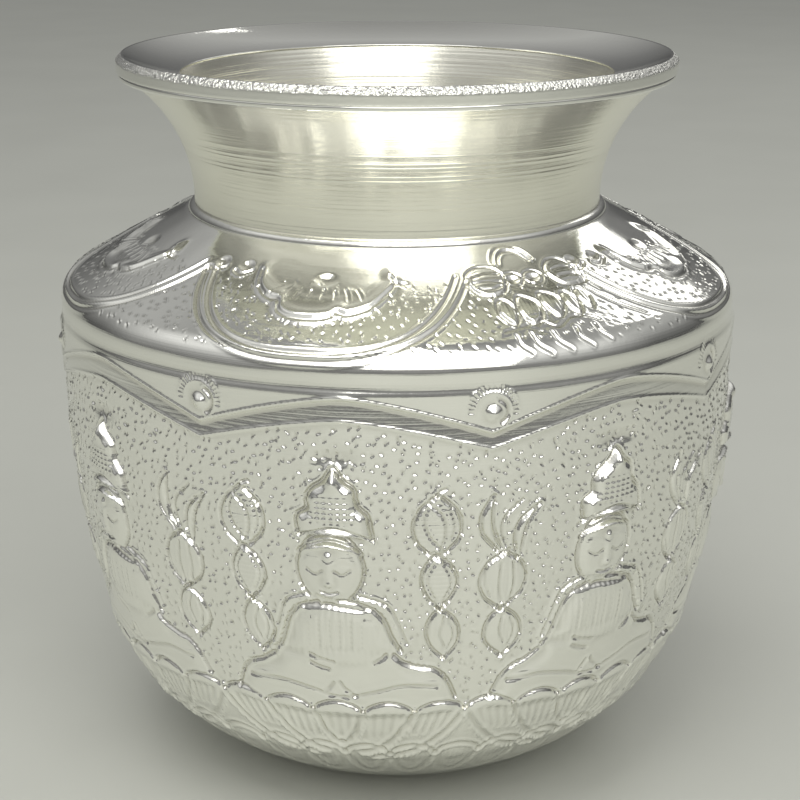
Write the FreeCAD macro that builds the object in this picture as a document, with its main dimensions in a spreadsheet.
"""Lota water pot: a brass pot with a raised belly, a domed shoulder, a turned neck and a turned rim.

The pot stands on the flat of its belly. The frame's origin is the middle of that flat, +Z is up,
and one of the eight raised figures faces -Y. All sizes are in millimetres.
"""
import FreeCAD, Part
import math
import os

import Sketcher

# Driving sizes: alias, value, meaning.
SIZES = [
    ("edge_radius", 70.0, "outer radius of the shoulder edge, the widest ring of the plain body"),
    ("seam_height", 98.6, "height of the seam between belly and shoulder"),
    ("belly_wall", 1.0, "sheet thickness of the belly"),
    ("band_height", 9.0, "straight band of the belly under the seam"),
    ("side_arc", 220.0, "radius of the belly's long side curve"),
    ("base_arc", 50.0, "radius of the belly's lower curve"),
    ("rest_radius", 26.0, "radius of the flat that the pot stands on"),
    ("shoulder_wall", 1.0, "sheet thickness of the shoulder"),
    ("edge_roll", 6.2, "outer radius of the rolled shoulder edge"),
    ("shoulder_rise", 18.6, "height from the seam to the neck's seat"),
    ("braze_bead", 0.7, "radius of the braze bead inside the seam"),
    ("bead_margin", 0.2, "straight flange left beyond the braze bead"),
    ("neck_radius", 42.0, "outer radius of the neck's foot"),
    ("neck_wall", 1.4, "wall of the neck at its foot"),
    ("foot_height", 2.2, "straight foot of the neck"),
    ("neck_height", 27.2, "height of the neck from its seat to the rim's seat"),
    ("throat_flare", 3.6, "how much the bore widens from the foot to the throat"),
    ("solder_bead", 1.4, "radius of the solder bead round the neck's foot"),
    ("seat_margin", 0.4, "flat of the seat left outside the solder bead"),
    ("rim_radius", 57.0, "outer radius of the rim band"),
    ("rim_height", 4.5, "height of the rim ring"),
    ("rim_overhang", 2.1, "how far the rim band stands out past the neck"),
    ("throat_land", 0.5, "straight bore at the foot of the rim's funnel"),
    ("funnel_arc", 40.0, "radius of the rim's hollow funnel"),
    ("crest_width", 0.5, "flat crest of the rim"),
    ("bevel", 1.1, "ground bevel on the rim's outer corner"),
    ("bead_step", 0.35, "step between the rim band and the strip under it"),
    ("bead_height", 1.2, "height of the strip under the rim band"),
    ("panel_relief", 1.2, "how far the arched panels and the lotus band stand out"),
    ("figure_relief", 3.0, "how far the figures stand out"),
    ("valley_width", 5.0, "plain strip between two arched panels, across the belly"),
    ("arch_drop", 6.0, "from the seam down to an arch's peak"),
    ("arch_rise", 6.5, "from an arch's cusps up to its peak"),
    ("lotus_foot", 17.5, "height of the lotus band's lower edge"),
    ("lotus_height", 10.0, "height of the lotus band"),
    ("crown_drop", 14.0, "from the seam down to the tip of a crown"),
    ("crown_height", 15.0, "height of a crown"),
    ("crown_half", 7.0, "half the width of a crown"),
    ("head_height", 12.5, "height of a head from crown to chin"),
    ("head_half", 6.2, "half the width of a head"),
    ("neck_half", 4.6, "half the width of a figure at its chin"),
    ("torso_half", 10.5, "half the width of a torso"),
    ("knee_half", 19.0, "half the width of a figure across its knees"),
    ("knee_height", 6.0, "height of the crossed legs"),
]
FIGURES = 8
HALF_PITCH_TANGENT = math.tan(math.pi / FIGURES)
OVERLAP = 1.0             # how far a cutting shape reaches past what it cuts
STRIP_TUCK = 0.3          # how far the strip under the rim band draws in at its foot
CHIN_TO_SHOULDER = 3.0    # from a figure's chin down to its shoulders
WAIST_SHARE = 0.72        # width of a figure's hips as a share of its knees

doc = FreeCAD.newDocument("lota_water_pot")


class Term:
    """A length that is both a number and an expression over the sheet's cells."""

    def __init__(self, value, text):
        self.value = value
        self.text = text

    def _join(self, other, sign, value):
        other_text = other.text if isinstance(other, Term) else repr(other)
        return Term(value, f"({self.text} {sign} {other_text})")

    def __add__(self, other):
        return self._join(other, "+", self.value + plain(other))

    def __sub__(self, other):
        return self._join(other, "-", self.value - plain(other))

    def __mul__(self, other):
        return self._join(other, "*", self.value * plain(other))

    def __truediv__(self, other):
        return self._join(other, "/", self.value / plain(other))

    def __neg__(self):
        return Term(-self.value, f"(-{self.text})")


def plain(length):
    """The number behind a Term, or the number itself."""
    return length.value if isinstance(length, Term) else float(length)


ZERO = Term(0.0, "0")
S = {alias: Term(value, f"Sizes.{alias}") for alias, value, _ in SIZES}

band_foot = S["seam_height"] - S["band_height"]
roll_height = S["seam_height"] + S["braze_bead"] + S["bead_margin"]
seat_height = S["seam_height"] + S["shoulder_rise"]
foot_top = seat_height + S["foot_height"]
lip_seat = seat_height + S["neck_height"]
rim_top = lip_seat + S["rim_height"]
neck_bore = S["neck_radius"] - S["neck_wall"]
throat_radius = neck_bore + S["throat_flare"]
lotus_top = S["lotus_foot"] + S["lotus_height"]


def make_sheet():
    """Put every driving size in a spreadsheet, one alias to a row."""
    sheet = doc.addObject("Spreadsheet::Sheet", "Sizes")
    for row, (alias, value, meaning) in enumerate(SIZES, start=1):
        sheet.set(f"A{row}", alias)
        sheet.set(f"B{row}", str(value))
        sheet.set(f"C{row}", meaning)
        sheet.setAlias(f"B{row}", alias)
    doc.recompute()


def point(x, y):
    """A point of a sketch from two lengths."""
    return FreeCAD.Vector(plain(x), plain(y), 0)


class Outline:
    """One closed outline in a sketch, drawn edge by edge and held by constraints."""

    def __init__(self, sketch):
        self.sketch = sketch
        self.edges = []

    def line(self, start, end):
        """Draw a straight edge and return its place in the outline."""
        geo = self.sketch.addGeometry(Part.LineSegment(start, end), False)
        self.edges.append((geo, 1, 2))
        return len(self.edges) - 1

    def arc(self, centre, start, end, turns_left):
        """Draw an arc that turns left or right from start to end; return its place."""
        first, last = (start, end) if turns_left else (end, start)
        radius = (start - centre).Length
        angles = [math.atan2(tip.y - centre.y, tip.x - centre.x) for tip in (first, last)]
        circle = Part.Circle(centre, FreeCAD.Vector(0, 0, 1), radius)
        geo = self.sketch.addGeometry(Part.ArcOfCircle(circle, *angles), False)
        self.edges.append((geo, 1, 2) if turns_left else (geo, 2, 1))
        return len(self.edges) - 1

    def join(self, tangent=()):
        """Close the outline. An edge whose place is in tangent runs smoothly into the next."""
        for place, (geo, _, leave) in enumerate(self.edges):
            following, enter, _ = self.edges[(place + 1) % len(self.edges)]
            kind = "Tangent" if place in tangent else "Coincident"
            self.sketch.addConstraint(Sketcher.Constraint(kind, geo, leave, following, enter))

    def pin(self, place, x=None, y=None):
        """Hold the first point of an edge, or only one of its two lengths."""
        geo, enter, _ = self.edges[place]
        self.hold(geo, enter, x, y)

    def centre(self, place, x=None, y=None):
        """Hold the centre of an arc."""
        self.hold(self.edges[place][0], 3, x, y)

    def hold(self, geo, spot, x, y):
        """Bind a point's distances from the sketch's origin to the sheet; 0 puts it on an axis."""
        for kind, axis, length in (("DistanceX", -2, x), ("DistanceY", -1, y)):
            if length is None:
                continue
            if length.value == 0:
                self.sketch.addConstraint(Sketcher.Constraint("PointOnObject", geo, spot, axis))
                continue
            ends = (-1, 1, geo, spot) if length.value > 0 else (geo, spot, -1, 1)
            text = length.text if length.value > 0 else f"-{length.text}"
            self.bind(Sketcher.Constraint(kind, *ends, abs(length.value)), text)

    def radius(self, place, length):
        """Bind an arc's radius to the sheet."""
        self.bind(Sketcher.Constraint("Radius", self.edges[place][0], length.value), length.text)

    def same_centre(self, place, other):
        """Give two arcs one centre."""
        first, second = self.edges[place][0], self.edges[other][0]
        self.sketch.addConstraint(Sketcher.Constraint("Coincident", first, 3, second, 3))

    def bind(self, constraint, text):
        """Add a constraint whose value is an expression."""
        index = self.sketch.addConstraint(constraint)
        self.sketch.setExpression(f"Constraints[{index}]", text)


def meeting(centre_a, radius_a, centre_b, radius_b, side):
    """Where two circles cross, on the left (side 1) or right (side -1) of the line a to b."""
    across = centre_b - centre_a
    gap = across.Length
    along = (radius_a ** 2 - radius_b ** 2 + gap ** 2) / (2 * gap)
    rise = math.sqrt(radius_a ** 2 - along ** 2)
    unit = across / gap
    return centre_a + unit * along + FreeCAD.Vector(-unit.y, unit.x, 0) * (side * rise)


def towards(start, end, distance):
    """The point at a distance from start on the way to end, and past it."""
    return start + (end - start) / (end - start).Length * distance


def revolved(name, draw):
    """A body turned round the pot's axis from the outline that draw makes in its XZ plane."""
    body = doc.addObject("PartDesign::Body", name)
    sketch = body.newObject("Sketcher::SketchObject", name + "_outline")
    plane = next(item for item in body.Origin.OriginFeatures if item.Role == "XZ_Plane")
    sketch.AttachmentSupport = [(plane, "")]
    sketch.MapMode = "FlatFace"
    draw(Outline(sketch))
    turn = body.newObject("PartDesign::Revolution", name + "_turned")
    turn.Profile = sketch
    turn.ReferenceAxis = (sketch, ["V_Axis"])
    turn.Angle = 360
    return body


def bowl(name, offset, top):
    """The belly's outer form, moved out by offset and filled up to the height top."""
    hub = point(S["edge_radius"] - S["side_arc"], band_foot)
    rest = point(S["rest_radius"], 0)
    side_radius = S["side_arc"] + offset
    base_radius = S["base_arc"] + offset
    low_hub = meeting(hub, plain(S["side_arc"] - S["base_arc"]), rest, plain(S["base_arc"]), 1)
    foot = -offset
    reach = math.sqrt(base_radius.value ** 2 - (foot.value - low_hub.y) ** 2)
    corner = point(low_hub.x + reach, foot)
    blend = towards(hub, low_hub, side_radius.value)

    def draw(outline):
        wide = S["edge_radius"] + offset
        outline.line(point(0, foot), corner)
        outline.arc(low_hub, corner, blend, True)
        outline.arc(hub, blend, point(wide, band_foot), True)
        outline.line(point(wide, band_foot), point(wide, top))
        outline.line(point(wide, top), point(0, top))
        outline.line(point(0, top), point(0, foot))
        outline.join(tangent=(1,))
        outline.pin(0, ZERO, foot)
        outline.pin(1, None, foot)
        outline.radius(1, base_radius)
        outline.centre(2, S["edge_radius"] - S["side_arc"], band_foot)
        outline.pin(3, wide, band_foot)
        outline.pin(4, wide, top)
        outline.pin(5, ZERO, top)
        stand = outline.sketch.addGeometry(Part.Point(rest), True)
        outline.hold(stand, 1, S["rest_radius"], ZERO)
        low_arc = outline.edges[1][0]
        reach_out = Sketcher.Constraint("Distance", stand, 1, low_arc, 3, plain(S["base_arc"]))
        outline.bind(reach_out, S["base_arc"].text)

    return revolved(name, draw)


def front_prism(name, corners, arch=None):
    """Extrude a symmetric outline from the pot's axis towards -Y.

    corners lists the right-hand corners from the foot up. With an arch, the two top corners are
    joined by an arc that rises by that much; without one, the last corner lies on the axis.
    """
    sketch = doc.addObject("Sketcher::SketchObject", name + "_outline")
    sketch.Placement = FreeCAD.Placement(FreeCAD.Vector(), FreeCAD.Rotation(FreeCAD.Vector(1, 0, 0), 90))
    outline = Outline(sketch)
    mirrored = [(-x, y) for x, y in reversed(corners) if x is not ZERO]
    loop = corners + mirrored
    top = len(corners) - 1
    for place, (x, y) in enumerate(loop):
        start = point(x, y)
        end = point(*loop[(place + 1) % len(loop)])
        if arch is not None and place == top:
            radius = (x * x + arch * arch) / (arch * 2)
            hub = point(0, y + arch - radius)
            outline.arc(hub, start, end, True)
            outline.radius(place, radius)
        else:
            outline.line(start, end)
    outline.join()
    for place, (x, y) in enumerate(loop):
        outline.pin(place, x, y)
    prism = doc.addObject("Part::Extrusion", name)
    prism.Base = sketch
    prism.DirMode = "Normal"
    prism.LengthFwd = 1.0
    prism.setExpression("LengthFwd", "Sizes.edge_radius * 1.5")
    prism.Solid = True
    return prism


def all_round(name, make_one, trim):
    """Eight copies of a prism, one for each figure, turned round the axis and joined."""
    copies = []
    for number in range(FIGURES):
        prism = make_one(f"{name}_{number + 1}", trim)
        turn = FreeCAD.Rotation(FreeCAD.Vector(0, 0, 1), 360.0 / FIGURES * number)
        prism.Placement = FreeCAD.Placement(FreeCAD.Vector(), turn)
        copies.append(prism)
    ring = doc.addObject("Part::MultiFuse", name)
    ring.Shapes = copies
    return ring


def arch_prism(name, trim):
    """The arched field round one figure, a valley's width short of its neighbours.

    trim is how far the form draws in at its edges: nothing outside, the wall inside.
    """
    half = S["edge_radius"] * HALF_PITCH_TANGENT - S["valley_width"] / 2 - trim
    foot = lotus_top - OVERLAP - trim
    cusp = S["seam_height"] - S["arch_drop"] - S["arch_rise"] - trim
    return front_prism(name, [(half, foot), (half, cusp)], S["arch_rise"])


def figure_prism(name, trim):
    """A seated, crowned figure in outline: knees, hips, shoulders, head and crown."""
    tip = S["seam_height"] - S["crown_drop"] - trim
    brow = tip - S["crown_height"]
    chin = brow - S["head_height"]
    foot = lotus_top - OVERLAP + trim
    lap = lotus_top + S["knee_height"] - trim
    corners = [
        (S["knee_half"] - trim, foot),
        (S["knee_half"] - trim, lap),
        (S["knee_half"] * WAIST_SHARE - trim, lap + OVERLAP),
        (S["torso_half"] - trim, chin - CHIN_TO_SHOULDER),
        (S["neck_half"] - trim, chin),
        (S["head_half"] - trim, chin + S["head_height"] / 2),
        (S["crown_half"] - trim, brow),
        (S["crown_half"] * WAIST_SHARE - trim, tip - S["crown_height"] / 2),
        (ZERO, tip),
    ]
    return front_prism(name, corners)


def band_slab(name, trim):
    """The height that the lotus band takes up, as a wide slab."""
    slab = doc.addObject("Part::Cylinder", name)
    slab.setExpression("Radius", "Sizes.edge_radius * 1.5")
    slab.setExpression("Height", (S["lotus_height"] - trim * 2).text)
    slab.setExpression("Placement.Base.z", (S["lotus_foot"] + trim).text)
    return slab


def raised_form(side, wall, top):
    """The bowl with its relief as one solid: wall 0 gives its outside, the sheet its inside."""
    panels = bowl(f"Panel{side}", S["panel_relief"] - wall, S["seam_height"])
    figures = bowl(f"Figure{side}", S["figure_relief"] - wall, S["seam_height"])
    tiers = [bowl(f"Belly{side}", -wall, top)]
    for name, blank, tools in (
        (f"LotusBand{side}", panels, band_slab(f"BandSlab{side}", wall)),
        (f"Panels{side}", panels, all_round(f"ArchPrisms{side}", arch_prism, wall)),
        (f"Figures{side}", figures, all_round(f"FigurePrisms{side}", figure_prism, wall)),
    ):
        tier = doc.addObject("Part::Common", name)
        tier.Base = blank
        tier.Tool = tools
        tiers.append(tier)
    solid = doc.addObject("Part::MultiFuse", f"Raised{side}")
    solid.Shapes = tiers
    return solid


def belly_bowl():
    """The belly: one sheet, raised into arched panels, figures and a lotus band."""
    belly = doc.addObject("Part::Cut", "belly_bowl")
    belly.Base = raised_form("Outer", ZERO, S["seam_height"])
    belly.Tool = raised_form("Inner", S["belly_wall"], S["seam_height"] + OVERLAP)
    return belly


def shoulder_dome():
    """The shoulder: a sloping sheet ring from the neck's seat to a rolled edge and flange."""
    wall = S["shoulder_wall"]
    roll = S["edge_roll"]
    edge = S["edge_radius"]
    seat_edge = S["neck_radius"] + S["solder_bead"] + S["seat_margin"]
    under = seat_height - wall
    start = point(seat_edge, seat_height)
    hub = point(edge - roll, roll_height)
    slope = math.atan2(hub.y - start.y, hub.x - start.x) + math.asin(roll.value / (hub - start).Length)
    upright = FreeCAD.Vector(-math.sin(slope), math.cos(slope), 0)
    blend = hub + upright * roll.value
    inner_blend = hub + upright * plain(roll - wall)
    run = (under.value - inner_blend.y) / math.tan(slope)
    inner_start = point(inner_blend.x + run, under)

    def draw(outline):
        outline.line(point(neck_bore, seat_height), start)
        slant = outline.line(start, blend)
        outline.arc(hub, blend, point(edge, roll_height), False)
        outline.line(point(edge, roll_height), point(edge, S["seam_height"]))
        outline.line(point(edge, S["seam_height"]), point(edge - wall, S["seam_height"]))
        outline.line(point(edge - wall, S["seam_height"]), point(edge - wall, roll_height))
        inner_roll = outline.arc(hub, point(edge - wall, roll_height), inner_blend, True)
        inner_slant = outline.line(inner_blend, inner_start)
        outline.line(inner_start, point(neck_bore, under))
        outline.line(point(neck_bore, under), point(neck_bore, seat_height))
        outline.join(tangent=(slant, inner_roll))
        outline.pin(0, neck_bore, seat_height)
        outline.pin(slant, seat_edge, seat_height)
        outline.centre(2, edge - roll, roll_height)
        outline.pin(3, edge, roll_height)
        outline.pin(4, edge, S["seam_height"])
        outline.pin(5, edge - wall, S["seam_height"])
        outline.pin(inner_roll, edge - wall, roll_height)
        outline.same_centre(2, inner_roll)
        outline.pin(8, None, under)
        outline.pin(9, neck_bore, under)

    return revolved("shoulder_dome", draw)


def edge_braze():
    """The braze inside the seam: a half-round bead on the two inner walls."""
    wall = S["edge_radius"] - S["belly_wall"]
    bead = S["braze_bead"]

    def draw(outline):
        high = point(wall, S["seam_height"] + bead)
        low = point(wall, S["seam_height"] - bead)
        outline.line(low, high)
        outline.arc(point(wall, S["seam_height"]), high, low, True)
        outline.join()
        outline.pin(0, wall, S["seam_height"] - bead)
        outline.pin(1, wall, S["seam_height"] + bead)
        outline.centre(1, wall, None)

    return revolved("edge_braze", draw)


def neck_collar():
    """The neck: a turned ring with a straight foot, flaring out to carry the rim."""
    outside = S["neck_radius"]
    lip = S["rim_radius"] - S["rim_overhang"]
    height = plain(lip_seat - foot_top)

    def hub(foot, end):
        """The centre, level with the foot's top, of the arc that leaves it upright."""
        spread = plain(end) - plain(foot)
        radius = (spread ** 2 + height ** 2) / (2 * spread)
        return point(plain(foot) + radius, foot_top)

    def draw(outline):
        outline.line(point(neck_bore, seat_height), point(outside, seat_height))
        outline.line(point(outside, seat_height), point(outside, foot_top))
        outline.arc(hub(outside, lip), point(outside, foot_top), point(lip, lip_seat), False)
        outline.line(point(lip, lip_seat), point(throat_radius, lip_seat))
        bore_hub = hub(neck_bore, throat_radius)
        outline.arc(bore_hub, point(throat_radius, lip_seat), point(neck_bore, foot_top), True)
        outline.line(point(neck_bore, foot_top), point(neck_bore, seat_height))
        outline.join()
        outline.pin(0, neck_bore, seat_height)
        outline.pin(1, outside, seat_height)
        outline.pin(2, outside, foot_top)
        outline.centre(2, None, foot_top)
        outline.pin(3, lip, lip_seat)
        outline.pin(4, throat_radius, lip_seat)
        outline.centre(4, None, foot_top)
        outline.pin(5, neck_bore, foot_top)

    return revolved("neck_collar", draw)


def neck_solder():
    """The solder round the neck's foot: a quarter-round bead on the seat."""
    wall = S["neck_radius"]
    bead = S["solder_bead"]

    def draw(outline):
        outline.line(point(wall, seat_height), point(wall + bead, seat_height))
        outline.arc(point(wall, seat_height), point(wall + bead, seat_height),
                    point(wall, seat_height + bead), True)
        outline.line(point(wall, seat_height + bead), point(wall, seat_height))
        outline.join()
        outline.pin(0, wall, seat_height)
        outline.pin(1, wall + bead, seat_height)
        outline.pin(2, wall, seat_height + bead)
        outline.radius(1, bead)

    return revolved("neck_solder", draw)


def rim_ring():
    """The rim: a turned ring with a hollow funnel, a flat crest, a ground bevel and a band."""
    band = S["rim_radius"]
    strip = band - S["bead_step"]
    crest = band - S["bevel"]
    funnel_foot = lip_seat + S["throat_land"]
    funnel_top = crest - S["crest_width"]
    strip_top = lip_seat + S["bead_height"]
    low = point(throat_radius, funnel_foot)
    high = point(funnel_top, rim_top)
    corners = [
        (throat_radius, lip_seat),
        (strip - STRIP_TUCK, lip_seat),
        (strip, lip_seat + STRIP_TUCK),
        (strip, strip_top),
        (band, strip_top),
        (band, rim_top - S["bevel"]),
        (crest, rim_top),
        (funnel_top, rim_top),
        (throat_radius, funnel_foot),
    ]

    def draw(outline):
        for place, (x, y) in enumerate(corners):
            start = point(x, y)
            end = point(*corners[(place + 1) % len(corners)])
            if place == 7:
                radius = plain(S["funnel_arc"])
                hub = meeting(low, radius, high, radius, 1)
                outline.arc(hub, high, low, False)
                outline.radius(place, S["funnel_arc"])
            else:
                outline.line(start, end)
        outline.join()
        for place, (x, y) in enumerate(corners):
            outline.pin(place, x, y)

    return revolved("rim_ring", draw)


def write_parts(nodes):
    """Check every object and every node's shape, then write one STEP file a node."""
    doc.recompute()
    for item in doc.Objects:
        if "Invalid" in item.State or "Error" in item.State:
            raise RuntimeError(f"{item.Label} failed: {item.State}")
    os.makedirs("parts", exist_ok=True)
    for node in nodes:
        shape = node.Shape
        if shape.isNull() or not shape.isValid() or len(shape.Solids) != 1:
            raise RuntimeError(f"{node.Label} has no single valid solid")
        box = shape.optimalBoundingBox()
        print(f"{node.Label}: {shape.Volume:.1f} mm3, {box.XLength:.2f} x {box.YLength:.2f}"
              f" x {box.ZLength:.2f} mm, z {box.ZMin:.2f} to {box.ZMax:.2f}")
        shape.exportStep(f"parts/{node.Label}.step")


make_sheet()
write_parts([
    belly_bowl(),
    shoulder_dome(),
    edge_braze(),
    neck_collar(),
    neck_solder(),
    rim_ring(),
])
